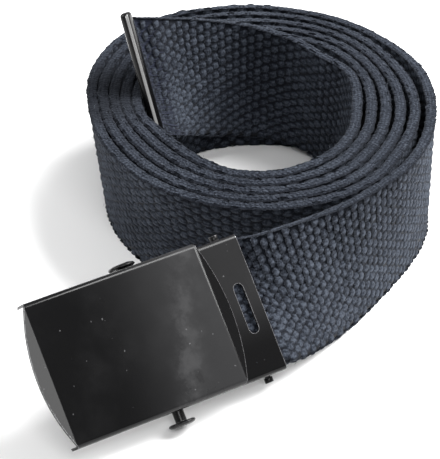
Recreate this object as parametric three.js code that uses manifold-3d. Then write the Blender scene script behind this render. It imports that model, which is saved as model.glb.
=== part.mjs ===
// Canvas web belt, coiled on its edge, with a slide buckle at one end and a metal tip at the other.
// Millimetres, +Z up, the belt standing on the plane Z = 0.
import * as THREE from 'three';
import { mergeVertices } from 'three/addons/utils/BufferGeometryUtils.js';
import Module from 'manifold-3d';

const wasm = await Module();
wasm.setup();

// webbing
const webbingWidth = 32;
const webbingThickness = 2.4;
const stationSpacing = 4.6;
const edgeRounding = 0.8;
const floorFlat = 0.14;

// coil, seen from above: it winds clockwise outwards from the tip
const holeReach = 26;
const layerPitch = 3.5;
const tipBearing = 177;
const coilTurns = 5;
const coilColumns = ['bearing', 'hole', 'pitch', 'lean'];
const coilTable = [
  [0, 0.877, 1.057, 2],
  [30, 0.996, 0.943, 3],
  [60, 1.117, 0.977, 5],
  [90, 1.046, 1.086, 10],
  [120, 1.015, 1.071, 10],
  [150, 0.862, 0.986, 8],
  [180, 0.819, 0.8, 7],
  [210, 0.66, 1.0, 9],
  [240, 0.662, 1.114, 12],
  [270, 0.885, 1.023, 11],
  [300, 0.915, 1.115, 7],
  [330, 0.888, 1.0, 4],
];

// the loose inner end: reach is a share of holeReach, lift a share of the webbing width
const tailColumns = ['bearing', 'reach', 'lift', 'lean'];
const tailTable = [
  [177, 0.92, 0.688, 26],
  [155.4, 0.842, 0.53, 19],
  [127.7, 0.9, 0.36, 14],
  [106, 1.01, 0.234, 10],
  [91, 1.125, 0.156, 6],
  [72, 1.2, 0.1, 0],
  [57.5, 1.19, 0.05, -1],
];

// the outer end leaving the coil for the buckle, same columns
const exitTable = [
  [60, 1.887, 0, 4],
  [30, 1.792, 0, 3],
  [8, 1.738, 0, 2],
  [-12, 1.744, 0, 1],
  [-22.5, 1.767, 0, 1],
  [-33, 1.8, 0, 1],
  [-43, 1.86, 0, 0],
  [-57.5, 2.05, 0, -5.5],
  [-66.5, 2.25, 0.005, -12],
  [-74.7, 2.536, 0.06, -21],
  [-80.2, 2.783, 0.12, -31],
];

// where the strap enters the buckle, same columns as the exit
const mouthBearing = -85.13;
const mouthDistance = 3.0001;
const mouthLift = 0.1861;

// buckle: a channel of sheet with an open back, worn over the outer end
const buckleYaw = 33;
const buckleTilt = 42;
const faceLength = 45;
const faceSideRoom = 1.45;
const faceWidth = webbingWidth + 2 * faceSideRoom;
const faceSheet = 0.7;
const wallDepth = 8;
const wallDepthShort = 5;
const leftBulge = 3.3;
const rightBulge = 3.7;
const endSlope = 18.5;
const bendRadius = 1.3;
const mouthReach = 12.3;
const sheetGap = 0.3;
const clampSheet = 0.7;
const clampSideRoom = 1;
const clampWidth = webbingWidth + 2 * clampSideRoom;
const clampShift = -0.5;
const clampTongueInset = 0.2;
const clampTongueWidth = webbingWidth - 2 * clampTongueInset;
const clampTongueRun = 8;
const clampWallDepth = 7;
const windowLength = 12.4;
const windowWidth = 2.6;
const windowFromEnd = 4.4;
const windowShift = -0.4;
const pinRadius = 0.7;
const pinFromEnd = 2.9;
const pinHead = 1.3;
const pinHeadRim = 0.35;
const jawSheet = 1.2;
const jawReach = 12;
const jawHub = 1.9;
const jawTeeth = 10;
const boreClearance = 0.25;
const barRadius = 1.35;
const barFromRight = 16.8;
const barTravel = 6;
const slotSlant = 12;
const slotClearance = 0.35;
const knobRadius = 3.3;
const knobThickness = 1.1;
const knobGap = 0.3;
const knobGapLow = 2.6;
const strapEndRun = 13.5;
const strapLead = 2.5;
const liftOffRun = 30;

// tip: sheet folded over the end of the webbing
const tipOverhang = 0.7;
const tipLength = webbingWidth + 2 * tipOverhang;
const tipRun = 3.4;
const tipThickness = 2.6;
const tipSheet = 0.5;
const tipBite = 2.6;
const pinchRun = 7;
const tailClimb = 0.33;

const rad = THREE.MathUtils.degToRad;
const half = (value) => value / 2;

function row(columns, values) {
  return Object.fromEntries(columns.map((name, index) => [name, values[index]]));
}

function cubic(a, b, c, d, t) {
  const t2 = t * t;
  const t3 = t2 * t;
  return 0.5 * (2 * b + (c - a) * t + (2 * a - 5 * b + 4 * c - d) * t2 + (3 * b - a - 3 * c + d) * t3);
}

const coilRows = coilTable.map((values) => row(coilColumns, values));

function coilAt(bearing) {
  const step = 360 / coilRows.length;
  const turned = ((bearing % 360) + 360) % 360;
  const index = Math.floor(turned / step);
  const share = turned / step - index;
  const pick = (offset) => coilRows[(index + offset + coilRows.length) % coilRows.length];
  const value = (name) => cubic(pick(-1)[name], pick(0)[name], pick(1)[name], pick(2)[name], share);
  return { hole: value('hole') * holeReach, pitch: value('pitch') * layerPitch, lean: value('lean') };
}

// guide points of the webbing's lower edge at half its thickness
function guidePoint(bearing, reach, lift, lean) {
  const angle = rad(bearing);
  return { x: reach * Math.cos(angle), y: reach * Math.sin(angle), lift, lean };
}

const guide = [];
for (const values of tailTable) {
  const { bearing, reach, lift, lean } = row(tailColumns, values);
  guide.push(guidePoint(bearing, reach * holeReach, lift * webbingWidth, lean));
}
const lastTail = row(tailColumns, tailTable.at(-1));
const firstExit = row(tailColumns, exitTable[0]);
const coilStart = lastTail.bearing - 18;
const coilEnd = firstExit.bearing + 15 - 360 * coilTurns;
for (let bearing = coilStart; bearing > coilEnd; bearing -= 15) {
  const { hole, pitch, lean } = coilAt(bearing);
  const turns = (tipBearing - bearing) / 360;
  guide.push(guidePoint(bearing, hole + pitch * turns + half(webbingThickness), 0, lean));
}
for (const values of exitTable) {
  const { bearing, reach, lift, lean } = row(tailColumns, values);
  guide.push(guidePoint(bearing, reach * holeReach, lift * webbingWidth, lean));
}

// buckle axes: along points to the coil, up lies in the face, out faces away from the coil
const yaw = rad(buckleYaw);
const tilt = rad(buckleTilt);
const along = new THREE.Vector3(Math.cos(yaw), Math.sin(yaw), 0);
const inward = new THREE.Vector3(-Math.sin(yaw), Math.cos(yaw), 0);
const up = inward.clone().multiplyScalar(Math.sin(tilt)).add(new THREE.Vector3(0, 0, Math.cos(tilt)));
const out = new THREE.Vector3().crossVectors(along, up);
const endFall = Math.tan(rad(endSlope));
const clampTop = -(faceSheet + rightBulge * endFall + sheetGap);
const strapOut = clampTop - clampSheet - sheetGap;
const strapMid = strapOut - half(webbingThickness);
const faceToMouth = faceLength + mouthReach;
const mouthPoint = guidePoint(mouthBearing, mouthDistance * holeReach, mouthLift * webbingWidth, -buckleTilt);
const mouth = new THREE.Vector3(mouthPoint.x, mouthPoint.y, mouthPoint.lift);
const faceCorner = mouth.clone()
  .addScaledVector(along, -faceToMouth)
  .addScaledVector(up, -faceSideRoom - clampShift)
  .addScaledVector(out, -strapMid);

const guideCurve = guide.map((point) => new THREE.Vector3(point.x, point.y, point.lift));
const endRuns = [-strapLead, half(strapLead), half(strapEndRun), strapEndRun];
for (const run of endRuns) {
  guideCurve.push(mouth.clone().addScaledVector(along, -run));
}
const leans = guide.map((point) => point.lean).concat(endRuns.map(() => mouthPoint.lean));
const curve = new THREE.CatmullRomCurve3(guideCurve, false, 'centripetal');

// stations at even spacing along the webbing
function routeStations() {
  const fine = 6 * guideCurve.length;
  const samples = [];
  let travelled = 0;
  for (let i = 0; i <= fine; i += 1) {
    const share = i / fine;
    const point = curve.getPoint(share);
    if (i > 0) travelled += point.distanceTo(samples[i - 1].point);
    const place = share * (leans.length - 1);
    const index = Math.min(Math.floor(place), leans.length - 2);
    const pick = (k) => leans[Math.min(Math.max(k, 0), leans.length - 1)];
    const lean = cubic(pick(index - 1), pick(index), pick(index + 1), pick(index + 2), place - index);
    samples.push({ point, lean, travelled });
  }
  const count = Math.round(travelled / stationSpacing);
  const stations = [];
  let cursor = 0;
  for (let i = 0; i <= count; i += 1) {
    const goal = (travelled * i) / count;
    while (cursor < samples.length - 2 && samples[cursor + 1].travelled < goal) cursor += 1;
    const from = samples[cursor];
    const to = samples[cursor + 1];
    const share = (goal - from.travelled) / (to.travelled - from.travelled);
    stations.push({
      point: from.point.clone().lerp(to.point, share),
      lean: from.lean + (to.lean - from.lean) * share,
      travelled: goal,
    });
  }
  for (let i = 0; i <= count; i += 1) {
    const ahead = stations[Math.min(i + 1, count)].point;
    const behind = stations[Math.max(i - 1, 0)].point;
    const heading = ahead.clone().sub(behind);
    const climb = -tailClimb * heading.z;
    heading.z = 0;
    const slope = climb / heading.length();
    heading.normalize();
    const station = stations[i];
    const sideways = new THREE.Vector3(-heading.y, heading.x, 0);
    const lean = rad(station.lean);
    station.rise = sideways.clone().multiplyScalar(Math.sin(lean))
      .add(new THREE.Vector3(0, 0, Math.cos(lean)))
      .addScaledVector(heading, slope)
      .normalize();
    station.outward = sideways.multiplyScalar(Math.cos(lean)).add(new THREE.Vector3(0, 0, -Math.sin(lean)));
    station.heading = ahead.clone().sub(behind).normalize();
  }
  // within the tip the webbing runs straight
  stations[0].rise = stations[1].rise;
  stations[0].outward = stations[1].outward;
  return { stations, length: travelled };
}

const { stations, length: webbingLength } = routeStations();

function thicknessAt(travelled) {
  const pinched = tipThickness - 2 * tipSheet - 2 * sheetGap;
  const share = THREE.MathUtils.smoothstep(travelled, stationSpacing, stationSpacing + pinchRun);
  return pinched + (webbingThickness - pinched) * share;
}

// a ring of the webbing: half thickness and height for each corner, going round
function ringShape(thickness) {
  const t = half(thickness);
  const e = Math.min(edgeRounding, 0.6 * t);
  const w = webbingWidth;
  return [
    [-t + e, 0], [t - e, 0], [t, e], [t, w * 0.35], [t, w * 0.65], [t, w - e],
    [t - e, w], [-t + e, w], [-t, w - e], [-t, w * 0.65], [-t, w * 0.35], [-t, e],
  ];
}

// where the edge leans, the ring is raised until its lowest corner is on the floor, pressed flat by floorFlat
function ringAt(station) {
  const ring = ringShape(thicknessAt(station.travelled)).map(([t, h]) => station.point.clone()
    .addScaledVector(station.outward, t).addScaledVector(station.rise, h));
  const lowest = Math.min(...ring.map((point) => point.z));
  const held = webbingLength - strapEndRun - strapLead - stationSpacing;
  const share = 1 - THREE.MathUtils.smoothstep(station.travelled, held - liftOffRun, held);
  const raise = share * (station.point.z - lowest - floorFlat);
  for (const point of ring) point.z += raise;
  return ring;
}

function sheetGeometry() {
  const positions = [];
  const indices = [];
  const size = ringShape(1).length;
  for (const station of stations) {
    for (const point of ringAt(station)) positions.push(point.x, point.y, Math.max(point.z, 0));
  }
  const last = stations.length - 1;
  for (let i = 0; i < last; i += 1) {
    for (let k = 0; k < size; k += 1) {
      const next = (k + 1) % size;
      const a = i * size + k;
      const b = i * size + next;
      indices.push(a, b, b + size, a, b + size, a + size);
    }
  }
  for (let k = 1; k < size - 1; k += 1) {
    indices.push(0, k + 1, k);
    indices.push(last * size, last * size + k, last * size + k + 1);
  }
  const geometry = new THREE.BufferGeometry();
  geometry.setAttribute('position', new THREE.Float32BufferAttribute(positions, 3));
  geometry.setIndex(indices);
  return geometry;
}

function toSolid(geometry) {
  const bare = geometry.clone();
  bare.deleteAttribute('normal');
  bare.deleteAttribute('uv');
  const merged = mergeVertices(bare, 1e-4);
  const vertProperties = Float32Array.from(merged.getAttribute('position').array);
  const triVerts = Uint32Array.from(merged.getIndex().array);
  return new wasm.Manifold(new wasm.Mesh({ numProp: 3, vertProperties, triVerts }));
}

function toGeometry(solid) {
  const mesh = solid.getMesh();
  const geometry = new THREE.BufferGeometry();
  geometry.setAttribute('position', new THREE.Float32BufferAttribute(Array.from(mesh.vertProperties), 3));
  geometry.setIndex(Array.from(mesh.triVerts));
  return geometry;
}

// a closed outline in the plane of two local axes, pushed along the third
function prism(points, depth, bevelled = 0) {
  const shape = new THREE.Shape(points.map(([x, y]) => new THREE.Vector2(x, y)));
  return new THREE.ExtrudeGeometry(shape, { depth, bevelEnabled: bevelled > 0, bevelSize: bevelled, steps: 1 });
}

function arcPoints(centreX, centreY, radius, from, to, steps) {
  const points = [];
  for (let i = 0; i <= steps; i += 1) {
    const angle = rad(from + ((to - from) * i) / steps);
    points.push([centreX + radius * Math.cos(angle), centreY + radius * Math.sin(angle)]);
  }
  return points;
}

// local axes of the buckle: x along, y up the face, z out of the face
function sideways(points, from, to) {
  // outline in (x, z), pushed along y
  const geometry = prism(points.map(([x, z]) => [x, -z]), to - from);
  geometry.rotateX(-Math.PI / 2);
  geometry.translate(0, from, 0);
  return toSolid(geometry);
}

function lengthways(points, from, to) {
  // outline in (y, z), pushed along x
  const geometry = prism(points, to - from);
  geometry.applyMatrix4(new THREE.Matrix4().set(0, 0, 1, from, 1, 0, 0, 0, 0, 1, 0, 0, 0, 0, 0, 1));
  return toSolid(geometry);
}

function outwards(points, from, to) {
  // outline in (x, y), pushed along z
  const geometry = prism(points, to - from);
  geometry.translate(0, 0, from);
  return toSolid(geometry);
}

function rodAlongFace(x, z, radius, from, to, sides = 24) {
  const geometry = new THREE.CylinderGeometry(radius, radius, to - from, sides);
  geometry.translate(x, half(from + to), z);
  return toSolid(geometry);
}

function chordArc(reach, span, steps) {
  // points of a shallow arc that bulges by reach over a chord of span, from y = 0 to y = span
  const radius = (reach * reach + half(span) * half(span)) / (2 * reach);
  const angle = Math.asin(half(span) / radius);
  const points = [];
  for (let i = 0; i <= steps; i += 1) {
    const a = -angle + (2 * angle * i) / steps;
    points.push([radius * Math.cos(a) - (radius - reach), half(span) + radius * Math.sin(a)]);
  }
  return points;
}

function faceOutline(inset) {
  const right = chordArc(rightBulge, faceWidth, 16).map(([x, y]) => [faceLength + x - inset, y]);
  const left = chordArc(leftBulge, faceWidth, 16).map(([x, y]) => [inset - x, faceWidth - y]);
  return right.concat(left);
}

function faceProfile(offset, depth) {
  // side view of the face: flat, with both bulging ends folded down a little
  const from = -leftBulge - 1;
  const to = faceLength + rightBulge + 1;
  const fold = 0.4;
  return [
    [from, -depth], [to, -depth],
    [to, -(to - faceLength) * endFall - offset], [faceLength + fold, -fold * endFall - offset],
    [faceLength - fold, -offset], [fold, -offset], [-fold, -fold * endFall - offset],
    [from, from * endFall - offset],
  ];
}

function channelSection(inset, depth) {
  const radius = bendRadius - inset;
  const low = inset;
  const high = faceWidth - inset;
  const top = -inset;
  return [
    [low, -depth], [high, -depth],
    ...arcPoints(high - radius, top - radius, radius, 0, 90, 6),
    ...arcPoints(low + radius, top - radius, radius, 90, 180, 6),
  ];
}

function slotOutline(x, z, radius, travel, slant) {
  const a = rad(slant);
  const far = [x - travel * Math.cos(a), z + travel * Math.sin(a)];
  return [
    ...arcPoints(x, z, radius, -90 - slant, 90 - slant, 10),
    ...arcPoints(far[0], far[1], radius, 90 - slant, 270 - slant, 10),
  ];
}

const barX = faceLength - barFromRight;
const barZ = -wallDepth + barRadius + slotClearance + 0.9;
const pinX = faceToMouth - pinFromEnd;
const pinZ = strapOut - webbingThickness - sheetGap - jawHub;

function frameSolid() {
  const deep = wallDepth + 4;
  const outer = sideways(faceProfile(0, wallDepth), -1, faceWidth + 1)
    .intersect(lengthways(channelSection(0, wallDepth), -leftBulge - 2, faceLength + rightBulge + 2))
    .intersect(outwards(faceOutline(0), -deep, 2));
  const inner = sideways(faceProfile(faceSheet, deep), faceSheet, faceWidth - faceSheet)
    .intersect(lengthways(channelSection(faceSheet, deep), -leftBulge - 3, faceLength + rightBulge + 3));
  const r = 1.4;
  const shortTo = barX - barTravel - 4;
  const keep = sideways([
    [-leftBulge - 2, -wallDepthShort + 1.2], [2.2, -wallDepthShort], [shortTo, -wallDepthShort],
    [shortTo + 2.5, -wallDepth], [faceLength - 1.2 - r, -wallDepth],
    ...arcPoints(faceLength - 1.2 - r, -wallDepth + r, r, -90, 0, 6),
    [faceLength - 1.2, -1.5], [faceLength + rightBulge + 2, -1.5],
    [faceLength + rightBulge + 2, 1], [-leftBulge - 2, 1],
  ], -1, faceWidth + 1);
  const slot = sideways(slotOutline(barX, barZ, barRadius + slotClearance, barTravel, slotSlant), -1, faceWidth + 1);
  return outer.subtract(inner).intersect(keep).subtract(slot);
}

function clampSolid() {
  const low = half(faceWidth - clampWidth) + clampShift;
  const high = low + clampWidth;
  const tongueLow = half(faceWidth - clampTongueWidth) + clampShift;
  const tongueHigh = tongueLow + clampTongueWidth;
  const start = faceLength + rightBulge - clampTongueRun;
  const shoulder = faceLength + 0.4;
  const end = faceToMouth;
  const bottom = clampTop - clampSheet;
  const r = 1.1;
  const section = (inset, depth) => {
    const radius = Math.max(r - inset, 0.2);
    return [
      [low + inset, -depth], [high - inset, -depth],
      ...arcPoints(high - inset - radius, clampTop - inset - radius, radius, 0, 90, 5),
      ...arcPoints(low + inset + radius, clampTop - inset - radius, radius, 90, 180, 5),
    ];
  };
  const depth = clampWallDepth - clampTop;
  const shell = lengthways(section(0, depth), shoulder, end)
    .subtract(lengthways(section(clampSheet, depth + 2), shoulder - 1, end + 1));
  const tongue = outwards([
    [start, tongueLow + 1], [start + 1, tongueLow], [shoulder + 1, tongueLow],
    [shoulder + 1, tongueHigh], [start + 1, tongueHigh], [start, tongueHigh - 1],
  ], bottom, clampTop);
  const wallOutline = sideways([
    [start - 1, bottom - 0.4], [shoulder + 0.2, bottom - 0.4], [shoulder + 1.4, -depth + 2.6],
    ...arcPoints(pinX, pinZ, jawHub + 0.5, 200, 340, 10),
    [end - 0.5, bottom - 1.5], [end + 1, bottom - 1.2], [end + 1, 1], [start - 1, 1],
  ], -1, faceWidth + 1);
  const windowX = end - windowFromEnd;
  const middle = half(faceWidth) + clampShift + windowShift;
  const reach = half(windowLength - windowWidth);
  const opening = outwards([
    ...arcPoints(windowX, middle + reach, half(windowWidth), 0, 180, 10),
    ...arcPoints(windowX, middle - reach, half(windowWidth), 180, 360, 10),
  ], bottom - 1, 1);
  const bore = rodAlongFace(pinX, pinZ, pinRadius + boreClearance, -1, faceWidth + 1);
  return shell.add(tongue).intersect(wallOutline).subtract(opening).subtract(bore);
}

function jawSolid() {
  const gap = sheetGap + clampSheet;
  const low = half(faceWidth - clampWidth) + clampShift + gap;
  const high = low + clampWidth - 2 * gap;
  const plateZ = pinZ + jawHub - 0.35;
  const tail = pinX - jawReach;
  const body = sideways([
    [pinX, plateZ], [tail + 1.5, plateZ - 0.6], [tail, plateZ - 0.9], [tail, plateZ - 0.9 - jawSheet],
    [pinX - jawHub, plateZ - 0.6 - jawSheet], [pinX, plateZ - 0.6 - jawSheet],
  ], low, high);
  const hub = rodAlongFace(pinX, pinZ, jawHub - 0.35, low, high);
  let jaw = body.add(hub);
  const pitch = (high - low) / jawTeeth;
  for (let i = 0; i < jawTeeth; i += 1) {
    const y = low + pitch * (i + 0.5);
    const tooth = sideways([
      [pinX - 3.4, plateZ - 0.5], [pinX - 1.6, plateZ - 0.5], [pinX - 2.5, plateZ + 0.3],
    ], y - pitch * 0.3, y + pitch * 0.3);
    jaw = jaw.add(tooth);
  }
  return jaw.subtract(rodAlongFace(pinX, pinZ, pinRadius + boreClearance, -1, faceWidth + 1));
}

function pinSolid() {
  const low = half(faceWidth - clampWidth) + clampShift;
  const from = low - boreClearance - pinHead;
  const to = low + clampWidth + boreClearance + pinHead;
  const rim = pinRadius + pinHeadRim;
  const heads = rodAlongFace(pinX, pinZ, rim, from, from + pinHead)
    .add(rodAlongFace(pinX, pinZ, rim, to - pinHead, to));
  return rodAlongFace(pinX, pinZ, pinRadius, from, to).add(heads);
}

function knobSolid(from, direction) {
  const outline = [
    [0, 0], [knobRadius - 0.5, 0], [knobRadius - 0.1, knobThickness * 0.2], [knobRadius, knobThickness * 0.45],
    [knobRadius - 0.35, knobThickness * 0.8], [knobRadius - 1.1, knobThickness], [0, knobThickness],
  ].map(([x, y]) => new THREE.Vector2(x, y));
  const geometry = new THREE.LatheGeometry(outline, 28);
  if (direction < 0) geometry.rotateX(Math.PI);
  geometry.translate(barX, from, barZ);
  return toSolid(geometry);
}

function barSolid() {
  const from = -knobGapLow;
  const to = faceWidth + knobGap;
  return rodAlongFace(barX, barZ, barRadius, from - 0.2, to + 0.2)
    .add(rodAlongFace(barX, barZ, barRadius + 0.25, faceSheet + 0.6, faceWidth - faceSheet - 0.6))
    .add(knobSolid(to, 1))
    .add(knobSolid(from, -1));
}

// the tip's own axes: x into the webbing, y up its width, z outwards
function tipSolid() {
  const reach = half(tipThickness);
  const bite = tipBite;
  const nose = -(tipRun - tipBite);
  const extra = half(tipLength - webbingWidth);
  const outerSection = [
    [bite, -reach + 0.12], [bite, reach - 0.12], [bite - 0.25, reach],
    ...arcPoints(nose + reach, 0, reach, 90, 270, 14),
    [bite - 0.25, -reach],
  ].reverse();
  const throat = reach - tipSheet;
  const body = sideways(outerSection, -extra, webbingWidth + extra);
  const mouthCut = sideways([
    [bite + 1, -throat], [bite + 1, throat], [-sheetGap, throat], [-sheetGap, -throat],
  ].reverse(), -extra - 1, webbingWidth + extra + 1);
  return body.subtract(mouthCut);
}

function place(solid, origin, x, y, z) {
  const geometry = toGeometry(solid);
  geometry.applyMatrix4(new THREE.Matrix4().makeBasis(x, y, z).setPosition(origin));
  return geometry;
}

const navy = '#232a38';
const pieces = [];

function addPiece(name, geometry, colour, roughness, metalness) {
  const material = new THREE.MeshStandardMaterial({ color: colour, roughness, metalness });
  material.name = name;
  const mesh = new THREE.Mesh(geometry, material);
  mesh.name = name;
  geometry.computeVertexNormals();
  pieces.push(mesh);
}

const tipStation = stations[0];
const tipRing = ringAt(tipStation);
const tipMiddle = tipRing.reduce((sum, point) => sum.add(point), new THREE.Vector3()).divideScalar(tipRing.length);
const tipOrigin = tipMiddle.addScaledVector(tipStation.rise, -half(webbingWidth));
const tipNormal = new THREE.Vector3().crossVectors(tipStation.heading, tipStation.rise).normalize();
const tipAlong = new THREE.Vector3().crossVectors(tipStation.rise, tipNormal);

addPiece('belt_webbing', sheetGeometry(), navy, 0.95, 0);
addPiece('belt_tip', place(tipSolid(), tipOrigin, tipAlong, tipStation.rise, tipNormal), '#1b1c1f', 0.3, 0.8);
addPiece('buckle_frame', place(frameSolid(), faceCorner, along, up, out), '#141416', 0.28, 0.8);
addPiece('clamp_plate', place(clampSolid(), faceCorner, along, up, out), '#17181a', 0.35, 0.8);
addPiece('clamp_jaw', place(jawSolid(), faceCorner, along, up, out), '#1a1b1d', 0.4, 0.8);
addPiece('clamp_pin', place(pinSolid(), faceCorner, along, up, out), '#202124', 0.35, 0.8);
addPiece('locking_bar', place(barSolid(), faceCorner, along, up, out), '#18191b', 0.3, 0.8);

// the middle of the footprint goes over the origin and the lowest point onto the floor
const group = new THREE.Group();
group.name = 'web_belt';
for (const mesh of pieces) group.add(mesh);
const bounds = new THREE.Box3().setFromObject(group);
const middle = bounds.getCenter(new THREE.Vector3());
for (const mesh of pieces) mesh.geometry.translate(-middle.x, -middle.y, -bounds.min.z);

export default group;
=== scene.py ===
import math

import bpy
import numpy as np
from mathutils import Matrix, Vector


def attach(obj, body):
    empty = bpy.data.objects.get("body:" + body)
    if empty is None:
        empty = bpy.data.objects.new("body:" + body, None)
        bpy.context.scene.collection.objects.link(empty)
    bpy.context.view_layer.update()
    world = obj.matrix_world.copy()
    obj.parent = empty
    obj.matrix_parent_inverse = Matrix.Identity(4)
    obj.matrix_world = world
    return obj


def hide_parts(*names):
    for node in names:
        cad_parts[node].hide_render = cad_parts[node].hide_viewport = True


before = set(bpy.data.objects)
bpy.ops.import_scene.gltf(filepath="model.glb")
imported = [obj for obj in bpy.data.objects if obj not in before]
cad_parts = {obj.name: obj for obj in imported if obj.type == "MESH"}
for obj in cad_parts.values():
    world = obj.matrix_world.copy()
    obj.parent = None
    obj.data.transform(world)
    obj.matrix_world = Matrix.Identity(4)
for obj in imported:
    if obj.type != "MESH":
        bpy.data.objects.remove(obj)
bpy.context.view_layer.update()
scene = bpy.context.scene
mm = 0.001

# where the photograph's camera stood, in millimetres
cameraFacts = {"place": (-4.63, -544.66, 365.92), "aim": (-4.63, 3.42, 10.0), "lens": 203.9}


def makeCamera():
    place, aim = Vector(cameraFacts["place"]) * mm, Vector(cameraFacts["aim"]) * mm
    data = bpy.data.cameras.new("camera")
    data.lens = cameraFacts["lens"]
    data.sensor_width = 36
    data.clip_start, data.clip_end = 0.01, 20
    camera = bpy.data.objects.new("camera", data)
    camera.location = place
    camera.rotation_euler = (aim - place).to_track_quat("-Z", "Y").to_euler()
    scene.collection.objects.link(camera)
    scene.camera = camera


makeCamera()
print("camera placed")


# shader sums written as plain expressions
class Wire:
    def __init__(self, tree, socket=None):
        self.tree = tree
        self.socket = socket

    def node(self, kind, settings=None, inputs=None, out=0):
        made = self.tree.nodes.new(kind)
        for name, value in (settings or {}).items():
            setattr(made, name, value)
        for key, value in (inputs or {}).items():
            slot = made.inputs[key]
            if isinstance(value, Wire):
                self.tree.links.new(value.socket, slot)
            elif isinstance(value, tuple) and len(value) == 3 and slot.type == "RGBA":
                slot.default_value = (*value, 1)
            else:
                slot.default_value = value
        return Wire(self.tree, made.outputs[out])

    def sum(self, operation, first, second=0.0):
        return self.node("ShaderNodeMath", {"operation": operation}, {0: first, 1: second})

    def __add__(self, other):
        return self.sum("ADD", self, other)

    def __radd__(self, other):
        return self.sum("ADD", other, self)

    def __sub__(self, other):
        return self.sum("SUBTRACT", self, other)

    def __rsub__(self, other):
        return self.sum("SUBTRACT", other, self)

    def __mul__(self, other):
        return self.sum("MULTIPLY", self, other)

    def __rmul__(self, other):
        return self.sum("MULTIPLY", other, self)

    def __pow__(self, other):
        return self.sum("POWER", self, other)

    def __rpow__(self, other):
        return self.sum("POWER", other, self)

    def sine(self):
        return self.sum("SINE", self)

    def ramp(self, low, high, toLow=0.0, toHigh=1.0):
        return self.node("ShaderNodeMapRange", {"interpolation_type": "SMOOTHSTEP"}, {
            "Value": self, "From Min": low, "From Max": high, "To Min": toLow, "To Max": toHigh})

    def blend(self, first, second):
        return self.node("ShaderNodeMix", {"data_type": "RGBA"}, {0: self, 6: first, 7: second}, 2)

    def dot(self, other):
        return self.node("ShaderNodeVectorMath", {"operation": "DOT_PRODUCT"}, {0: self, 1: other}, 1)


def newMaterial(name):
    material = bpy.data.materials.new(name)
    material.use_nodes = True
    tree = material.node_tree
    shader = next(node for node in tree.nodes if node.type == "BSDF_PRINCIPLED")
    return material, Wire(tree), shader


def plug(wire, shader, **values):
    for name, value in values.items():
        slot = shader.inputs[name.replace("_", " ")]
        if isinstance(value, Wire):
            wire.tree.links.new(value.socket, slot)
        elif isinstance(value, tuple):
            slot.default_value = (*value, 1)
        else:
            slot.default_value = value


def noise(wire, place, scale, detail=2.0, rough=0.5):
    values = {"Vector": place, "Scale": scale, "Detail": detail, "Roughness": rough}
    return wire.node("ShaderNodeTexNoise", {}, values)


# the webbing's route, in millimetres
webbing = {
    "width": 32.0,
    "thickness": 2.4,
    "pinched": 1.0,
    "pinchReach": 7.0,
    "holeReach": 26.0,
    "layerPitch": 3.5,
    "tipBearing": 177.0,
    "coilTurns": 5,
    "edge": 0.8,
    "floorFlat": 0.14,
    "tailClimb": 0.33,
    "endRun": 13.5,
    "lead": 2.5,
    "liftOff": 30.0,
    "spacing": 4.6,
    "centre": (3.3743, 28.4187),
}
# bearing, share of the hole, share of the pitch, lean
coilRows = (
    (0, 0.877, 1.057, 2), (30, 0.996, 0.943, 3), (60, 1.117, 0.977, 5), (90, 1.046, 1.086, 10),
    (120, 1.015, 1.071, 10), (150, 0.862, 0.986, 8), (180, 0.819, 0.8, 7), (210, 0.66, 1.0, 9),
    (240, 0.662, 1.114, 12), (270, 0.885, 1.023, 11), (300, 0.915, 1.115, 7), (330, 0.888, 1.0, 4),
)
# bearing, share of the hole, share of the width, lean
tailRows = (
    (177, 0.92, 0.688, 26), (155.4, 0.842, 0.53, 19), (127.7, 0.9, 0.36, 14), (106, 1.01, 0.234, 10),
    (91, 1.125, 0.156, 6), (72, 1.2, 0.1, 0), (57.5, 1.19, 0.05, -1),
)
exitRows = (
    (60, 1.887, 0, 4), (30, 1.792, 0, 3), (8, 1.738, 0, 2), (-12, 1.744, 0, 1), (-22.5, 1.767, 0, 1),
    (-33, 1.8, 0, 1), (-43, 1.86, 0, 0), (-57.5, 2.05, 0, -5.5), (-66.5, 2.25, 0.005, -12),
    (-74.7, 2.536, 0.06, -21), (-80.2, 2.783, 0.12, -31),
)
buckle = {
    "yaw": 33.0,
    "tilt": 42.0,
    "mouth": (-85.13, 3.0001, 0.1861),
    "faceLength": 45.0,
    "mouthReach": 12.3,
    "sideRoom": 1.45,
    "clampShift": -0.5,
    "strapMid": -4.438,
}


def cubic(a, b, c, d, t):
    square = 2 * a - 5 * b + 4 * c - d
    cube = 3 * b - a - 3 * c + d
    return 0.5 * (2 * b + (c - a) * t + square * t * t + cube * t ** 3)


def buckleAxes():
    yaw, tilt = math.radians(buckle["yaw"]), math.radians(buckle["tilt"])
    along = np.array((math.cos(yaw), math.sin(yaw), 0))
    inward = np.array((-math.sin(yaw), math.cos(yaw), 0))
    up = inward * math.sin(tilt) + np.array((0, 0, math.cos(tilt)))
    return along, up, np.cross(along, up)


def mouthPoint():
    bearing, reach, lift = buckle["mouth"]
    reach, bearing = reach * webbing["holeReach"], math.radians(bearing)
    return np.array((reach * math.cos(bearing), reach * math.sin(bearing), lift * webbing["width"]))


def faceCorner():
    # the lower left corner of the buckle's flat face
    along, up, out = buckleAxes()
    centre = np.array((*webbing["centre"], 0))
    return (mouthPoint() + centre - along * (buckle["faceLength"] + buckle["mouthReach"])
            - up * (buckle["sideRoom"] + buckle["clampShift"]) - out * buckle["strapMid"])


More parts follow.
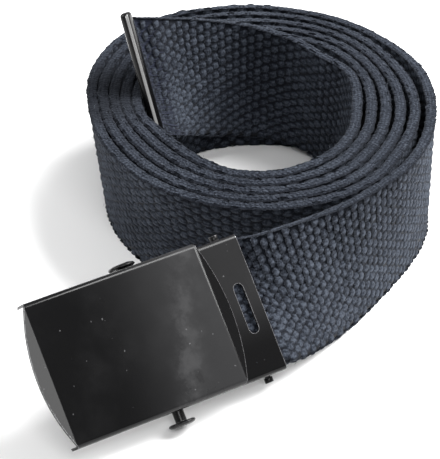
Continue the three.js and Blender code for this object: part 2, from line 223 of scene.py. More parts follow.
def routeGuide():
    w = webbing
    points, leans = [], []

    def put(bearing, reach, lift, lean):
        angle = math.radians(bearing)
        points.append((reach * math.cos(angle), reach * math.sin(angle), lift))
        leans.append(lean)

    def coilAt(bearing):
        step = 360 / len(coilRows)
        turned = (bearing % 360) / step
        index = int(turned)
        near = [coilRows[(index + k) % len(coilRows)] for k in (-1, 0, 1, 2)]
        return [cubic(*(row[k] for row in near), turned - index) for k in (1, 2, 3)]

    for bearing, reach, lift, lean in tailRows:
        put(bearing, reach * w["holeReach"], lift * w["width"], lean)
    bearing = tailRows[-1][0] - 18
    while bearing > exitRows[0][0] + 15 - 360 * w["coilTurns"]:
        hole, pitch, lean = coilAt(bearing)
        turns = (w["tipBearing"] - bearing) / 360
        put(bearing, hole * w["holeReach"] + pitch * w["layerPitch"] * turns + w["thickness"] / 2, 0, lean)
        bearing -= 15
    for bearing, reach, lift, lean in exitRows:
        put(bearing, reach * w["holeReach"], lift * w["width"], lean)
    along = buckleAxes()[0]
    mouth = mouthPoint()
    for run in (-w["lead"], w["lead"] / 2, w["endRun"] / 2, w["endRun"]):
        points.append(tuple(mouth - along * run))
        leans.append(-buckle["tilt"])
    return np.array(points, float), np.array(leans, float)


def denseRoute(perSpan=24):
    # centripetal spline through the guide points, with the lean carried along
    points, leans = routeGuide()
    count = len(points)
    padded = np.vstack([2 * points[0] - points[1], points, 2 * points[-1] - points[-2]])
    out, tilt = [], []
    for k in range(count - 1):
        p0, p1, p2, p3 = padded[k:k + 4]
        spans = ((p0, p1), (p1, p2), (p2, p3))
        d0, d1, d2 = (max(float(np.sum((b - a) ** 2)) ** 0.25, 1e-4) for a, b in spans)
        m1 = ((p1 - p0) / d0 - (p2 - p0) / (d0 + d1) + (p2 - p1) / d1) * d1
        m2 = ((p2 - p1) / d1 - (p3 - p1) / (d1 + d2) + (p3 - p2) / d2) * d1
        near = [leans[min(max(k + j, 0), count - 1)] for j in (-1, 0, 1, 2)]
        for i in range(perSpan + (k == count - 2)):
            t = i / perSpan
            square = -3 * p1 + 3 * p2 - 2 * m1 - m2
            cube = 2 * p1 - 2 * p2 + m1 + m2
            out.append(p1 + m1 * t + square * t * t + cube * t ** 3)
            tilt.append(cubic(*near, t))
    out, tilt = np.array(out), np.array(tilt)
    travelled = np.concatenate([[0], np.cumsum(np.linalg.norm(np.diff(out, axis=0), axis=1))])
    return out, tilt, travelled


routePoints, routeLeans, routeRun = denseRoute()
webbingLength = float(routeRun[-1])


def smoothstep(low, high, value):
    t = np.clip((value - low) / (high - low), 0, 1)
    return t * t * (3 - 2 * t)


def thicknessAt(run):
    # thinner where the tip pinches it
    pinched, spacing = webbing["pinched"], webbing["spacing"]
    share = smoothstep(spacing, spacing + webbing["pinchReach"], run)
    return pinched + (webbing["thickness"] - pinched) * share


def strapFrame(run):
    # place, direction, rise and outward side of the webbing at each distance from the tip
    w = webbing
    run = np.clip(np.asarray(run, float), 0, webbingLength)

    def at(s):
        return np.stack([np.interp(s, routeRun, routePoints[:, k]) for k in range(3)], -1)

    reach = w["spacing"]
    held = np.maximum(run, reach)
    place = at(run)
    heading = at(np.minimum(held + reach, webbingLength)) - at(np.maximum(held - reach, 0))
    climb = -w["tailClimb"] * heading[:, 2]
    flat = heading * (1, 1, 0)
    size = np.linalg.norm(flat, axis=1, keepdims=True)
    flat = flat / size
    side = np.stack([-flat[:, 1], flat[:, 0], np.zeros(len(run))], -1)
    lean = np.radians(np.interp(held, routeRun, routeLeans))[:, None]
    upright = np.array((0, 0, 1.0))
    rise = side * np.sin(lean) + upright * np.cos(lean) + flat * (climb[:, None] / size)
    rise /= np.linalg.norm(rise, axis=1, keepdims=True)
    outward = side * np.cos(lean) - upright * np.sin(lean)
    t = thicknessAt(run) / 2
    e = np.minimum(w["edge"], 0.6 * t)
    lowest = np.minimum.reduce([k * (t - e) * outward[:, 2] for k in (-1, 1)]
                               + [k * t * outward[:, 2] + e * rise[:, 2] for k in (-1, 1)])
    limit = webbingLength - w["endRun"] - w["lead"] - w["spacing"]
    place[:, 2] += (1 - smoothstep(limit - w["liftOff"], limit, run)) * (-lowest - w["floorFlat"])
    place[:, :2] += w["centre"]
    return place, flat, rise, outward


def meshObject(name, points, faces, smooth=True):
    mesh = bpy.data.meshes.new(name)
    mesh.from_pydata([tuple(p) for p in points], [], faces)
    mesh.polygons.foreach_set("use_smooth", [smooth] * len(mesh.polygons))
    mesh.update()
    made = bpy.data.objects.new(name, mesh)
    scene.collection.objects.link(made)
    return made


weave = {
    "column": 2.1,
    "rows": 13,
    "bodyInset": 0.34,
    "sheetStep": 1.05,
    "floatLength": 1.62,
    "floatWidth": 1.36,
    "floatHeight": 0.47,
    "edgeLength": 0.66,
    "edgeWidth": 0.98,
    "edgeHeight": 0.36,
    "edgeInset": 0.3,
    "edgeTint": 0.5,
    "edgeShade": 0.35,
    "sheetInset": 0.35,
    "swing": 0.09,
    "jitter": 0.08,
    "looseness": 0.1,
    "strands": 70,
    "strandDrop": 6.0,
    "fanReach": 24.0,
    "fanDepth": 0.13,
    "innerEnd": 205.0,
    "outerPart": 465.0,
    "topShown": 6.2,
    "lowShown": 3.0,
    "fuzz": 10000,
    "fuzzLength": 1.3,
    "seed": 7,
}


def gathered(runs, heights):
    # height across the webbing once the weave is drawn together at the tip
    share = np.clip(heights / webbing["width"], 0, 1)
    drawn = 1 - smoothstep(2, weave["fanReach"], runs)
    return heights - weave["fanDepth"] * webbing["width"] * np.sin(math.pi * share) * drawn


def sheetPiece(name, start, end):
    # the closed band under the floats, with distance and height stored as its UV map
    count = max(int(round((end - start) / weave["sheetStep"])), 2)
    runs = np.linspace(start, end, count + 1)
    place, flat, rise, outward = strapFrame(runs)
    half = np.maximum(thicknessAt(runs) / 2 - weave["bodyInset"], 0.3)[:, None]
    width = webbing["width"]
    # share of the half thickness and share of the height, round the band's section
    levels = (0.02, 0.2, 0.4, 0.6, 0.8, 0.98)
    ring = [(-0.45, 0.0), (0.45, 0.0)] + [(1.0, h) for h in levels]
    ring += [(0.45, 1.0), (-0.45, 1.0)] + [(-1.0, h) for h in reversed(levels)]
    inset = weave["sheetInset"]
    points, spots = [], []
    for i in range(count + 1):
        for t, h in ring:
            y = inset + h * (width - 2 * inset)
            points.append((place[i] + outward[i] * half[i] * t + rise[i] * y) * mm)
            spots.append((runs[i], y))
    size = len(ring)
    faces = []
    for i in range(count):
        for k in range(size):
            n = (k + 1) % size
            a, b = i * size + k, i * size + n
            faces.append((a, b, b + size, a + size))
    faces.append(tuple(reversed(range(size))))
    faces.append(tuple(count * size + k for k in range(size)))
    made = meshObject(name, np.maximum(points, (-9, -9, 0.0)), faces)
    layer = made.data.uv_layers.new(name="spot")
    loops = np.zeros(len(made.data.loops), int)
    made.data.loops.foreach_get("vertex_index", loops)
    layer.data.foreach_set("uv", (np.array(spots)[loops] * mm).ravel())
    return made


def turnsFrom(x, y, z):
    # Euler angles whose matrix has these three columns
    ry = -np.arcsin(np.clip(x[:, 2], -1, 1))
    rx = np.arctan2(y[:, 2], z[:, 2])
    rz = np.arctan2(x[:, 1], x[:, 0])
    return np.stack([rx, ry, rz], -1)


def grainPoints(start, end, rowsWanted):
    # one point for each float of yarn between two distances, on both sides and along both edges
    rng = np.random.default_rng(weave["seed"] + int(start))
    width, pitch = webbing["width"], webbing["width"] / weave["rows"]
    runs, heights, sides, kinds = [], [], [], []
    for column in range(int(start / weave["column"]), int(end / weave["column"])):
        run = (column + 0.5) * weave["column"]
        for side in (1, -1):
            odd = (column + (side < 0)) % 2
            for row in range(weave["rows"] - odd):
                height = (row + 0.5 + 0.5 * odd) * pitch
                if rowsWanted(run, height, side):
                    runs.append(run)
                    heights.append(height)
                    sides.append(side)
                    kinds.append(0)
            for top in (0, 1):
                for part in (0.0, 0.5) if top else (0.0,):
                    runs.append(run + (part + 0.25 * (side > 0)) * weave["column"])
                    heights.append(width if top else 0)
                    sides.append(side)
                    kinds.append(2 if top else 1)
    runs, heights, sides, kinds = (np.array(v, float) for v in (runs, heights, sides, kinds))
    runs = runs + rng.normal(0, weave["jitter"], len(runs))
    heights = heights + np.where(kinds == 0, rng.normal(0, weave["jitter"], len(runs)), 0)
    place, flat, rise, outward = strapFrame(runs)
    half = np.maximum(thicknessAt(runs) / 2 - weave["bodyInset"], 0.3)
    slack = 1 - np.clip(heights / width, 0, 1)
    tight = smoothstep(3 + 6 * slack ** 2, 10 + 13 * slack ** 2, runs)
    onFace = kinds == 0
    lift = np.where(onFace, half - 0.06, 0.5 * half)
    base = place + outward * (lift * sides)[:, None]
    inset = weave["edgeInset"]
    edgeHeight = np.where(kinds == 2, width - inset, inset)
    base = base + rise * np.where(onFace, gathered(runs, heights), edgeHeight)[:, None]
    edgeNormal = np.where((kinds == 2)[:, None], rise, -rise)
    normal = np.where(onFace[:, None], outward * sides[:, None], edgeNormal)
    tangent = flat - normal * np.sum(flat * normal, 1)[:, None]
    tangent /= np.linalg.norm(tangent, axis=1, keepdims=True)
    across = np.cross(normal, tangent)
    swing = rng.normal(0, weave["swing"], len(runs))[:, None]
    swung = tangent * np.cos(swing) + across * np.sin(swing)
    across = across * np.cos(swing) - tangent * np.sin(swing)
    length = weave["floatLength"] * np.where(onFace, 1, weave["edgeLength"])
    length = length * (1 + rng.normal(0, 0.06, len(runs)))
    wide = np.where(onFace, weave["floatWidth"], weave["edgeWidth"])
    wide = wide * (1 + rng.normal(0, 0.07, len(runs)))
    high = np.where(onFace, weave["floatHeight"], weave["edgeHeight"])
    high = high * (1 + rng.normal(0, 0.1, len(runs)))
    high = high * (0.22 + 0.78 * tight)
    keep = runs > webbing["spacing"] - 1.5
    grow = np.stack([length, wide, high], -1)
    tint = rng.random(len(runs)) * np.where(onFace, 1, weave["edgeTint"])
    tint = tint - np.where(onFace, 0, weave["edgeShade"])
    return [v[keep] for v in (base * mm, turnsFrom(swung, across, normal), grow * mm, tint)]


def pointCloud(name, base, turn, grow, tint):
    mesh = bpy.data.meshes.new(name)
    mesh.from_pydata([tuple(p) for p in base], [], [])
    for key, values in (("turn", turn), ("grow", grow)):
        layer = mesh.attributes.new(key, "FLOAT_VECTOR", "POINT")
        layer.data.foreach_set("vector", values.astype(np.float32).ravel())
    mesh.attributes.new("tint", "FLOAT", "POINT").data.foreach_set("value", tint.astype(np.float32))
    made = bpy.data.objects.new(name, mesh)
    scene.collection.objects.link(made)
    return made


def floatShape():
    # one float of yarn: a low arch, pointed at both ends, its rim under the cloth
    long, wide = 6, 4
    points, faces, crowns, spots = [], [], [], []
    for i in range(long + 1):
        a = -1 + 2 * i / long
        for k in range(wide + 1):
            b = -1 + 2 * k / wide
            narrow = 1 - 0.35 * a * a
            height = abs(math.cos(math.pi * a / 2)) ** 0.85 * abs(math.cos(math.pi * b / 2)) ** 0.75
            points.append((a, b * narrow, height - 0.06))
            crowns.append(height)
            spots.append((a, b))
    for i in range(long):
        for k in range(wide):
            a = i * (wide + 1) + k
            faces.append((a, a + wide + 1, a + wide + 2, a + 1))
    made = meshObject("float_shape", points, faces)
    # the crown height goes to the yarn's material, which paints light on the crowns and shade at the rims
    made.data.attributes.new("crown", "FLOAT", "POINT").data.foreach_set("value", crowns)
    layer = made.data.uv_layers.new(name="ply")
    for loop in made.data.loops:
        layer.data[loop.index].uv = spots[loop.vertex_index]
    return made


def hairShape():
    # a stray fibre: a thin three-sided tube that bends over
    steps = 5
    points, faces = [], []
    for i in range(steps + 1):
        t = i / steps
        middle = Vector((0.9 * t * t, 0.25 * math.sin(2.2 * t), t * (1 - 0.25 * t)))
        radius = 0.042 * (1 - 0.6 * t)
        for k in range(3):
            angle = 2 * math.pi * k / 3
            points.append(tuple(middle + Vector((math.cos(angle), math.sin(angle), 0)) * radius))
    for i in range(steps):
        for k in range(3):
            n = (k + 1) % 3
            faces.append((i * 3 + k, i * 3 + n, i * 3 + 3 + n, i * 3 + 3 + k))
    faces.append((0, 2, 1))
    faces.append((steps * 3, steps * 3 + 1, steps * 3 + 2))
    return meshObject("hair_shape", points, faces)


def sowTree():
    # places one shape on every point, turned and sized by the point's own attributes
    tree = bpy.data.node_groups.new("sowYarn", "GeometryNodeTree")
    face = tree.interface
    face.new_socket("Geometry", in_out="INPUT", socket_type="NodeSocketGeometry")
    face.new_socket("Shape", in_out="INPUT", socket_type="NodeSocketObject")
    face.new_socket("Finish", in_out="INPUT", socket_type="NodeSocketMaterial")
    face.new_socket("Looseness", in_out="INPUT", socket_type="NodeSocketFloat")
    face.new_socket("Seed", in_out="INPUT", socket_type="NodeSocketInt")
    face.new_socket("Geometry", in_out="OUTPUT", socket_type="NodeSocketGeometry")
    make, link = tree.nodes.new, tree.links.new
    given, result = make("NodeGroupInput"), make("NodeGroupOutput")
    shape = make("GeometryNodeObjectInfo")
    link(given.outputs["Shape"], shape.inputs["Object"])
    turn, grow = make("GeometryNodeInputNamedAttribute"), make("GeometryNodeInputNamedAttribute")
    for node, name in ((turn, "turn"), (grow, "grow")):
        node.data_type = "FLOAT_VECTOR"
        node.inputs["Name"].default_value = name
    euler = make("FunctionNodeEulerToRotation")
    link(turn.outputs["Attribute"], euler.inputs[0])
    points = make("GeometryNodeMeshToPoints")
    link(given.outputs["Geometry"], points.inputs["Mesh"])
    seat = make("GeometryNodeInstanceOnPoints")
    link(points.outputs["Points"], seat.inputs["Points"])
    link(shape.outputs["Geometry"], seat.inputs["Instance"])
    link(euler.outputs[0], seat.inputs["Rotation"])
    link(grow.outputs["Attribute"], seat.inputs["Scale"])
    sway = make("FunctionNodeRandomValue")
    sway.data_type = "FLOAT_VECTOR"
    loose = make("ShaderNodeCombineXYZ")
    for k in range(3):
        link(given.outputs["Looseness"], loose.inputs[k])
    against = make("ShaderNodeVectorMath")
    against.operation = "SCALE"
    link(loose.outputs[0], against.inputs[0])
    against.inputs["Scale"].default_value = -1
    link(against.outputs[0], sway.inputs[0])
    link(loose.outputs[0], sway.inputs[1])
    link(given.outputs["Seed"], sway.inputs["Seed"])
    spin = make("GeometryNodeRotateInstances")
    link(seat.outputs["Instances"], spin.inputs["Instances"])
    link(sway.outputs[0], spin.inputs["Rotation"])
    solid = make("GeometryNodeRealizeInstances")
    link(spin.outputs["Instances"], solid.inputs["Geometry"])
    finish = make("GeometryNodeSetMaterial")
    link(solid.outputs["Geometry"], finish.inputs["Geometry"])
    link(given.outputs["Finish"], finish.inputs["Material"])
    link(finish.outputs["Geometry"], result.inputs["Geometry"])
    return tree


sow = sowTree()


def sown(name, cloud, shape, material, looseness, seed):
    modifier = cloud.modifiers.new("sow", "NODES")
    modifier.node_group = sow
    keys = {item.name: item.identifier for item in sow.interface.items_tree if item.in_out == "INPUT"}
    for key, value in (("Shape", shape), ("Finish", material), ("Looseness", looseness), ("Seed", seed)):
        modifier[keys[key]] = value
    bpy.context.view_layer.update()
    mesh = bpy.data.meshes.new_from_object(cloud.evaluated_get(bpy.context.evaluated_depsgraph_get()))
    mesh.name = name
    places = np.zeros(len(mesh.vertices) * 3, np.float32)
    mesh.vertices.foreach_get("co", places)
    places[2::3] = np.maximum(places[2::3], 0)
    mesh.vertices.foreach_set("co", places)
    made = bpy.data.objects.new(name, mesh)
    scene.collection.objects.link(made)
    bpy.data.objects.remove(cloud)
    return made


# finishes of the webbing
cotton = {
    "deep": (0.0022, 0.003, 0.0055),
    "mid": (0.0066, 0.0087, 0.0140),
    "pale": (0.0450, 0.0530, 0.0690),
    # centre, reach and strength of the painted shadow that the raised tail and tip cast on the turns
    # beside them
    "tailShadowCentre": (-39.0, 34.0, 30.0),
    "tailShadowReach": 24.0,
    "tailShadowShare": 0.88,
    # the ground's colour, darker than the floats: painted shade in the gaps between them
    "ground": (0.0055, 0.007, 0.0115),
    "strandLow": (0.0075, 0.0095, 0.0190),
    "strandHigh": (0.019, 0.023, 0.040),
    "roughness": 0.92,
    "sheen": 0.06,
}


def paintedTailShadow(wire, place):
    # painted shadow of the raised tail and tip on the turns beside them: one near the centre, falling to
    # nothing at the reach
    middle, reach = Vector(cotton["tailShadowCentre"]) * mm, cotton["tailShadowReach"] * mm
    away = wire.node("ShaderNodeVectorMath", {"operation": "DISTANCE"}, {0: place, 1: middle}, 1)
    return away.ramp(reach * 0.35, reach, 1.0, 0.0)


def yarnMaterial():
    material, wire, shader = newMaterial("cotton_yarn")
    place = wire.node("ShaderNodeTexCoord", {}, {}, 3)
    crown = wire.node("ShaderNodeAttribute", {"attribute_name": "crown"}, {}, 2)
    tint = wire.node("ShaderNodeAttribute", {"attribute_name": "tint"}, {}, 2)
    ply = wire.node("ShaderNodeUVMap", {"uv_map": "ply"})
    lengthwise = wire.node("ShaderNodeSeparateXYZ", {}, {"Vector": ply})
    across = wire.node("ShaderNodeSeparateXYZ", {}, {"Vector": ply}, 1)
    fine = noise(wire, place, 1900, 3, 0.65)
    wide = noise(wire, place, 42, 3, 0.55)
    strand = (across * 7.0 + lengthwise * 1.9).sine() * 0.5 + 0.5
    # each float paler on its crown and darker at its rim, where it sinks into the ground: painted light
    # and shade; each float's random tint, noise and ply stripes vary its tone
    lighterShare = crown.ramp(0.2, 1.0) * (tint * 0.3 + 0.3) + (fine - 0.5) * 2.1
    lighterShare = lighterShare + (wide - 0.5) * 0.6 + strand * 0.22
    # the rims towards the deep colour: painted shade in the pits between the floats
    low = crown.ramp(0.05, 0.85).blend(cotton["deep"], cotton["mid"])
    colour = lighterShare.ramp(0.05, 1.0).blend(low, cotton["pale"])
    # painted shadow of the raised tail and tip: the turns beside it darkened towards the deep colour
    colour = (paintedTailShadow(wire, place) * cotton["tailShadowShare"]).blend(colour, cotton["deep"])
    height = strand * 0.45 + fine * 1.3
    bump = wire.node("ShaderNodeBump", {}, {"Strength": 0.9, "Distance": 0.0002, "Height": height})
    plug(wire, shader, Base_Color=colour, Roughness=cotton["roughness"], Normal=bump,
         Sheen_Weight=cotton["sheen"], Sheen_Roughness=0.5, Sheen_Tint=(0.55, 0.62, 0.75),
         Specular_IOR_Level=0.15)
    return material


def clothMaterial():
    material, wire, shader = newMaterial("cotton_ground")
    spot = wire.node("ShaderNodeUVMap", {"uv_map": "spot"})
    place = wire.node("ShaderNodeTexCoord", {}, {}, 3)
    run = wire.node("ShaderNodeSeparateXYZ", {}, {"Vector": spot})
    level = wire.node("ShaderNodeSeparateXYZ", {}, {"Vector": spot}, 1)
    strands = (level * 2600.0 + noise(wire, place, 260, 2) * 5.0).sine() * 0.5 + 0.5
    fine = noise(wire, place, 1800, 3, 0.6)
    near = run.ramp(0.003, 0.017, 1.0, 0.0)
    smoothed = (strands * 0.4 + fine * 0.6).ramp(0.2, 0.9)
    smoothed = smoothed.blend(cotton["strandLow"], cotton["strandHigh"])
    # the ground between the floats darker than the floats: painted shade in the gaps
    ground = fine.ramp(0.2, 0.9).blend(cotton["deep"], cotton["ground"])
    height = strands * 0.6 + fine * 0.5
    bump = wire.node("ShaderNodeBump", {}, {"Strength": 0.6, "Distance": 0.0002, "Height": height})
    plug(wire, shader, Base_Color=near.blend(ground, smoothed), Roughness=0.95, Normal=bump,
         Sheen_Weight=0.08, Specular_IOR_Level=0.12)
    return material


def hairMaterial():
    material, wire, shader = newMaterial("stray_fibre")
    place = wire.node("ShaderNodeTexCoord", {}, {}, 3)
    colour = noise(wire, place, 900, 1).ramp(0.3, 0.7).blend((0.02, 0.026, 0.04), (0.13, 0.145, 0.17))
    plug(wire, shader, Base_Color=colour, Roughness=0.8, Specular_IOR_Level=0.2)
    return material


def fannedStrands(name):
    # the warp strands gathered into the tip, spreading as the weave begins
    rng = np.random.default_rng(weave["seed"] + 3)
    width, sides, steps = webbing["width"], 5, 9
    points, faces = [], []
    for side in (1, -1):
        for k in range(weave["strands"]):
            share = (k + 0.5) / weave["strands"]
            runs = np.linspace(2.2, 8 + 11 * (1 - share) + 4 * rng.random(), steps + 1)
            place, flat, rise, outward = strapFrame(runs)
            t = np.linspace(0, 1, steps + 1)
            wander = 0.25 * np.sin(4 * t + 6 * rng.random()) + rng.normal(0, 0.15)
            drop = weave["strandDrop"] * (1 - share) ** 2 * t
            heights = np.clip(gathered(runs, share * width + wander) - drop, 0.35, width - 0.35)
            radius = (0.09 + 0.07 * rng.random()) * (1 - 0.85 * t ** 2)
            half = np.maximum(thicknessAt(runs) / 2 - weave["bodyInset"] * 0.8, 0.32)
            middle = place + outward * (half * side)[:, None] + rise * heights[:, None]
            base = len(points)
            for i in range(steps + 1):
                for n in range(sides):
                    angle = 2 * math.pi * n / sides
                    swing = outward[i] * math.cos(angle) + rise[i] * math.sin(angle)
                    points.append((middle[i] + swing * radius[i]) * mm)
            for i in range(steps):
                for n in range(sides):
                    a, b = base + i * sides + n, base + i * sides + (n + 1) % sides
                    faces.append((a, b, b + sides, a + sides))
            faces.append(tuple(base + n for n in reversed(range(sides))))
            faces.append(tuple(base + steps * sides + n for n in range(sides)))
    return meshObject(name, points, faces)


def makeWebbing():
    cloth, yarn, hair = clothMaterial(), yarnMaterial(), hairMaterial()
    shape, whisker = floatShape(), hairShape()
    end, width = webbingLength, webbing["width"]
    innerEnd, outerStart = weave["innerEnd"], end - weave["outerPart"]
    made = []
    for number, (low, high) in enumerate([(0, end / 2), (end / 2, end)], 1):
        piece = sheetPiece("belt_ground_%d" % number, low, high)
        piece.data.materials.append(cloth)
        made.append(piece)
    strands = fannedStrands("belt_strands")
    strands.data.materials.append(cloth)
    made.append(strands)

    def everything(run, height, side):
        return run < end - 1

    def topRows(run, height, side):
        # between the layers only the rows near the two edges can be seen
        return height > width - weave["topShown"] or height < weave["lowShown"]

    outerMiddle = (outerStart + end) / 2
    spans = [(0, innerEnd, everything), (innerEnd, outerStart, topRows),
             (outerStart, outerMiddle, everything), (outerMiddle, end - 1.5, everything)]
    clouds = []
    for number, (low, high, wanted) in enumerate(spans, 1):
        data = grainPoints(low, high, wanted)
        clouds.append(data)
        cloud = pointCloud("yarn_points_%d" % number, *data)
        made.append(sown("belt_weave_%d" % number, cloud, shape, yarn, weave["looseness"], number))
    rng = np.random.default_rng(weave["seed"])
    base, turn, grow, tint = (np.concatenate([c[k] for c in clouds]) for k in range(4))
    for number in (1, 2):
        picked = rng.choice(len(base), weave["fuzz"] // 2, replace=False)
        picked = picked[base[picked][:, 2] > 0.002]
        long = weave["fuzzLength"] * (0.3 + 0.7 * rng.random(len(picked)) ** 2) * mm
        spread = rng.normal(0, 0.5 * mm, (len(picked), 3))
        cloud = pointCloud("fuzz_points_%d" % number, base[picked] + spread,
                           turn[picked], np.repeat(long[:, None], 3, 1), tint[picked])
        made.append(sown("belt_fuzz_%d" % number, cloud, whisker, hair, 1.1, number))
    for o in (shape, whisker):
        bpy.data.objects.remove(o)
    return made


webbingPieces = makeWebbing()
print("webbing made in", len(webbingPieces), "pieces")


# finishes of the metal
lacquer = {
    "black": (0.002, 0.002, 0.0022),
    # grey of the smudges and of the painted reflection on the lacquer
    "smudgeAndReflection": (0.026, 0.026, 0.027),
    "bare": (0.30, 0.30, 0.31),
    "edgeReach": 0.28,
    "smearAt": 29.5,
    "smearSlant": 0.37,
}


def faceCoordinates(wire):
    # distance along the buckle's face and up it, in millimetres from its lower left corner
    place = wire.node("ShaderNodeTexCoord", {}, {}, 3)
    along, up = buckleAxes()[:2]
    corner = faceCorner()
    spots = []
    for axis in (along, up):
        spots.append(place.dot(Vector(axis)) * (1 / mm) - float(corner @ axis))
    return place, spots[0], spots[1]


def rubbedEdges(wire, reach):
    # one where the surface turns a corner within that reach
    rounded = wire.node("ShaderNodeBevel", {"samples": 6}, {"Radius": reach})
    plain = wire.node("ShaderNodeNewGeometry", {}, {}, 1)
    return (1.0 - rounded.dot(plain)).ramp(0.004, 0.07)


def lacquerMaterial(name, gloss, smudgeAndReflectionLevel, wear, pastFold=1.0):
    material, wire, shader = newMaterial(name)
    place, along, up = faceCoordinates(wire)
    cloud = noise(wire, place, 70, 5, 0.6)
    streak = noise(wire, place, 300, 4, 0.65)
    speck = noise(wire, place, 1500, 2, 0.5)
    # hand smudges on the side next to the clamp
    beside = along - lacquer["smearAt"] - up * lacquer["smearSlant"]
    smear = (2.0 ** (beside * beside * -0.12)) * cloud.ramp(0.3, 0.8) * streak.ramp(0.25, 0.8)
    # grey rising along the face towards the clamp: painted reflection of the light, added to the smudges
    # and to random clouding
    smudgeAndReflection = (smear * 1.9 + along.ramp(12.0, 44.0) * 0.66 + cloud.ramp(0.4, 0.9) * 0.2) * smudgeAndReflectionLevel
    # the grey of smudges and painted reflection is scaled by pastFold beyond the fold, which keeps the
    # face's folded end black as a painted dark reflection, and fades out towards the clamp's lower end
    fold = buckle["faceLength"]
    low = along.ramp(fold + 1, fold + 2) * up.ramp(6.0, 20.0, 1.0, 0.0)
    smudgeAndReflection = smudgeAndReflection * along.ramp(fold, fold + 0.4, 1.0, pastFold) * (1.0 - low)
    lighterShare = rubbedEdges(wire, lacquer["edgeReach"] * mm) * speck.ramp(0.25, 0.55) * wear
    fleck = noise(wire, place, 900, 1, 0.4).ramp(0.775, 0.80)
    colour = smudgeAndReflection.blend(lacquer["black"], lacquer["smudgeAndReflection"])
    colour = (lighterShare + fleck * 0.2).blend(colour, lacquer["bare"])
    rough = smudgeAndReflection * 0.2 + gloss + fleck * 0.2
    height = streak + speck * 0.4
    bump = wire.node("ShaderNodeBump", {}, {"Strength": 0.1, "Distance": 0.00005, "Height": height})
    plug(wire, shader, Base_Color=colour, Roughness=rough, Metallic=lighterShare * 0.5, Normal=bump,
         Specular_IOR_Level=0.15, Coat_Weight=0.04, Coat_Roughness=0.12)
    return material


def tipMaterial(name, rise):
    # black lacquer with bands of bare steel placed by the way the surface faces: painted highlights, a
    # broad one along the crown and a thin one on the left rim
    material, wire, shader = newMaterial(name)
    place = wire.node("ShaderNodeTexCoord", {}, {}, 3)
    facing = wire.node("ShaderNodeNewGeometry", {}, {}, 1)
    grain = noise(wire, place, 700, 4, 0.6)
    bands = []
    for way, low, high in (tip["crown"], tip["rim"]):
        way = np.array(way) - rise * float(np.dot(way, rise))
        way = Vector(way).normalized()
        bands.append(facing.dot(way).ramp(low, high))
    # painted highlights: the crown band broken by grain, the rim band even
    lighterShare = bands[0] * grain.ramp(0.15, 0.5) * 0.75 + bands[1] * 0.6
    colour = lighterShare.blend(lacquer["black"], tip["highlightSteel"])
    bump = wire.node("ShaderNodeBump", {}, {"Strength": 0.1, "Distance": 0.00005, "Height": grain})
    plug(wire, shader, Base_Color=colour, Metallic=lighterShare, Roughness=0.24, Normal=bump,
         Specular_IOR_Level=0.3)
    return material


def smoothTree():
    # shades a piece smooth without writing to its mesh
    tree = bpy.data.node_groups.new("smoothFaces", "GeometryNodeTree")
    tree.interface.new_socket("Geometry", in_out="INPUT", socket_type="NodeSocketGeometry")
    tree.interface.new_socket("Geometry", in_out="OUTPUT", socket_type="NodeSocketGeometry")
    into, out = tree.nodes.new("NodeGroupInput"), tree.nodes.new("NodeGroupOutput")
    smooth = tree.nodes.new("GeometryNodeSetShadeSmooth")
    tree.links.new(into.outputs[0], smooth.inputs["Geometry"])
    tree.links.new(smooth.outputs[0], out.inputs[0])
    return tree


def finishSolid(node, rounding, material):
    # a solid keeps its own mesh, and modifiers break its hard edges a little
    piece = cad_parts[node]
    for slot in piece.material_slots:
        slot.material = material
    weld = piece.modifiers.new("weld", "WELD")
    weld.merge_threshold = 1e-6
    piece.modifiers.new("smooth", "NODES").node_group = smoothFaces
    bevel = piece.modifiers.new("edges", "BEVEL")
    bevel.width, bevel.segments, bevel.limit_method = rounding * mm, 2, "ANGLE"
    bevel.angle_limit = math.radians(32)
    bevel.harden_normals = True
    flats = piece.modifiers.new("flats", "WEIGHTED_NORMAL")
    flats.mode, flats.weight, flats.keep_sharp = "FACE_AREA", 90, True


# crown and rim: the way that each painted highlight band faces, and where it starts and is full
tip = {
    "run": 4.0,
    "bite": 2.6,
    "thickness": 2.6,
    "overhang": 0.7,
    "endRound": 0.9,
    "squareness": 2.6,
    "sides": 40,
    "rings": 14,
    # colour of the bare steel in the painted highlight bands
    "highlightSteel": (0.5, 0.5, 0.5),
    "crown": ((0.5, -0.87, 0.0), 0.90, 0.975),
    "rim": ((-1.0, -0.1, 0.0), 0.95, 0.995),
}


def makeTip():
    # a folded sleeve with a crowned back and rounded ends
    place, flat, rises, outward = strapFrame([0.0, webbing["spacing"]])
    rise = rises[0]
    heading = place[1] - place[0]
    normal = np.cross(heading, rise)
    normal /= np.linalg.norm(normal)
    inward = np.cross(rise, normal)
    low, high = -tip["overhang"], webbing["width"] + tip["overhang"]
    rounding = tip["endRound"]
    turns = np.linspace(0, math.pi / 2, 7)
    levels = [(low + rounding * (1 - math.cos(a)), math.sin(a)) for a in turns[1:]]
    levels += [(low + (high - low) * k / tip["rings"], 1.0) for k in range(1, tip["rings"])]
    levels += [(high - rounding * (1 - math.cos(a)), math.sin(a)) for a in reversed(turns[1:])]
    middle, reach, half = tip["bite"] - tip["run"] / 2, tip["run"] / 2, tip["thickness"] / 2
    points, faces, sides = [], [], tip["sides"]
    for height, share in levels:
        shrink = 1 - rounding * (1 - share) / half
        for k in range(sides):
            angle = 2 * math.pi * k / sides
            x, z = math.cos(angle), math.sin(angle)
            x = math.copysign(abs(x) ** (2 / tip["squareness"]), x)
            z = math.copysign(abs(z) ** (2 / tip["squareness"]), z)
            spot = place[0] + rise * height + inward * (middle + reach * x * shrink)
            points.append((spot + normal * (half * z * shrink)) * mm)
    for i in range(len(levels) - 1):
        for k in range(sides):
            a, b = i * sides + k, i * sides + (k + 1) % sides
            faces.append((a, a + sides, b + sides, b))
    faces.append(tuple(range(sides)))
    faces.append(tuple((len(levels) - 1) * sides + k for k in reversed(range(sides))))
    made = meshObject("tip_sleeve", points, faces)
    made.data.materials.append(tipMaterial("tip_lacquer", rise))
    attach(made, "belt")
    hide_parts("belt_tip")


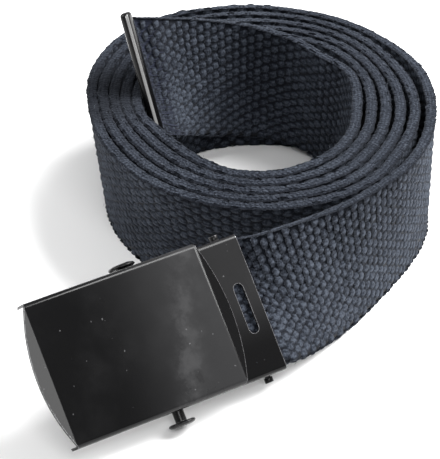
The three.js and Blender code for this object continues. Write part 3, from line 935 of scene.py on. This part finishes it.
smoothFaces = smoothTree()
solidFinishes = {
    "buckle_frame": (0.12, lacquerMaterial("face_lacquer", 0.15, 1.0, 0.6, 0.0)),
    "clamp_plate": (0.1, lacquerMaterial("clamp_lacquer", 0.2, 0.52, 0.8)),
    "clamp_jaw": (0.1, lacquerMaterial("jaw_lacquer", 0.3, 0.2, 0.3)),
    "clamp_pin": (0.08, lacquerMaterial("pin_lacquer", 0.25, 0.3, 0.5)),
    "locking_bar": (0.1, lacquerMaterial("bar_lacquer", 0.22, 0.2, 0.3)),
}
for node, (rounding, material) in solidFinishes.items():
    finishSolid(node, rounding, material)
makeTip()
for piece in webbingPieces:
    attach(piece, "belt")
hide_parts("belt_webbing")
print("metal finished")


# floor and light: where each lamp is, what it looks at, its sides and its power
studio = {
    "window": ((0.75, 0.3, 0.95), (0, 0, 0.02), (0.8, 0.8), 44.0),
    "front": ((0.2, -1.0, 0.95), (0, 0, 0.02), (0.6, 0.4), 7.0),
    "left": ((-1.1, 0.2, 0.9), (-0.1, 0, 0), (0.8, 0.8), 9.0),
}


def areaLight(name, place, aim, size, power):
    data = bpy.data.lights.new(name, "AREA")
    data.shape = "RECTANGLE"
    data.size, data.size_y = size
    data.energy = power
    made = bpy.data.objects.new(name, data)
    made.location = place
    made.rotation_euler = (Vector(aim) - Vector(place)).to_track_quat("-Z", "Y").to_euler()
    scene.collection.objects.link(made)


def makeStage():
    floor = meshObject("floor", [(-3, -3, 0), (3, -3, 0), (3, 3, 0), (-3, 3, 0)], [(0, 1, 2, 3)], False)
    material, wire, shader = newMaterial("studio_floor")
    place = wire.node("ShaderNodeTexCoord", {}, {}, 3)
    tone = noise(wire, place, 6, 2).blend((0.86, 0.86, 0.86), (0.90, 0.90, 0.90))
    plug(wire, shader, Base_Color=tone, Roughness=0.75, Specular_IOR_Level=0.2)
    floor.data.materials.append(material)
    world = bpy.data.worlds.new("studio")
    scene.world = world
    world.use_nodes = True
    sky = world.node_tree.nodes["Background"]
    sky.inputs["Color"].default_value = (1, 1, 1, 1)
    sky.inputs["Strength"].default_value = 0.5
    for name, facts in studio.items():
        areaLight(name, *facts)
    scene.view_settings.view_transform = "Standard"


makeStage()
print("stage lit")
